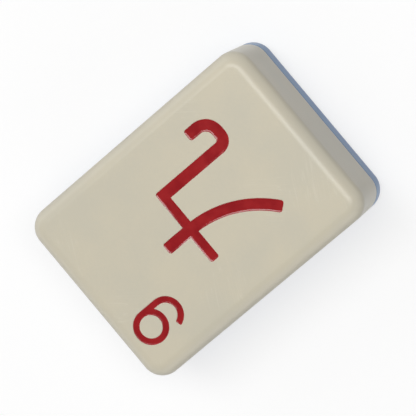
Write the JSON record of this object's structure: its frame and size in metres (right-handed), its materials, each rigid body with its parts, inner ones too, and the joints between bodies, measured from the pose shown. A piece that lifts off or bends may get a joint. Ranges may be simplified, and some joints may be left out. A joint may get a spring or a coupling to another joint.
{
  "type": "mahjong tile",
  "caption": "Two-layer mahjong tile with rounded edges: a pale block with an engraved, enamel-filled number face, bonded to a blue back plate.",
  "frame": {"origin": "on the table under the middle of the tile, at the flat of its back", "axes": "+X to the reader's right, +Y to the top of the tile as it is read, +Z out of the face"},
  "size_m": [0.022, 0.03, 0.013],
  "materials": {
    "ivory": "polished",
    "blue": "polished",
    "adhesive": "cured clear adhesive",
    "enamel": "gloss enamel"
  },
  "bodies": {
    "root": {"face_block": "ivory", "back_plate": "blue", "bond_film": "adhesive", "character_fill": "enamel", "numeral_fill": "enamel"}
  },
  "joints": []
}
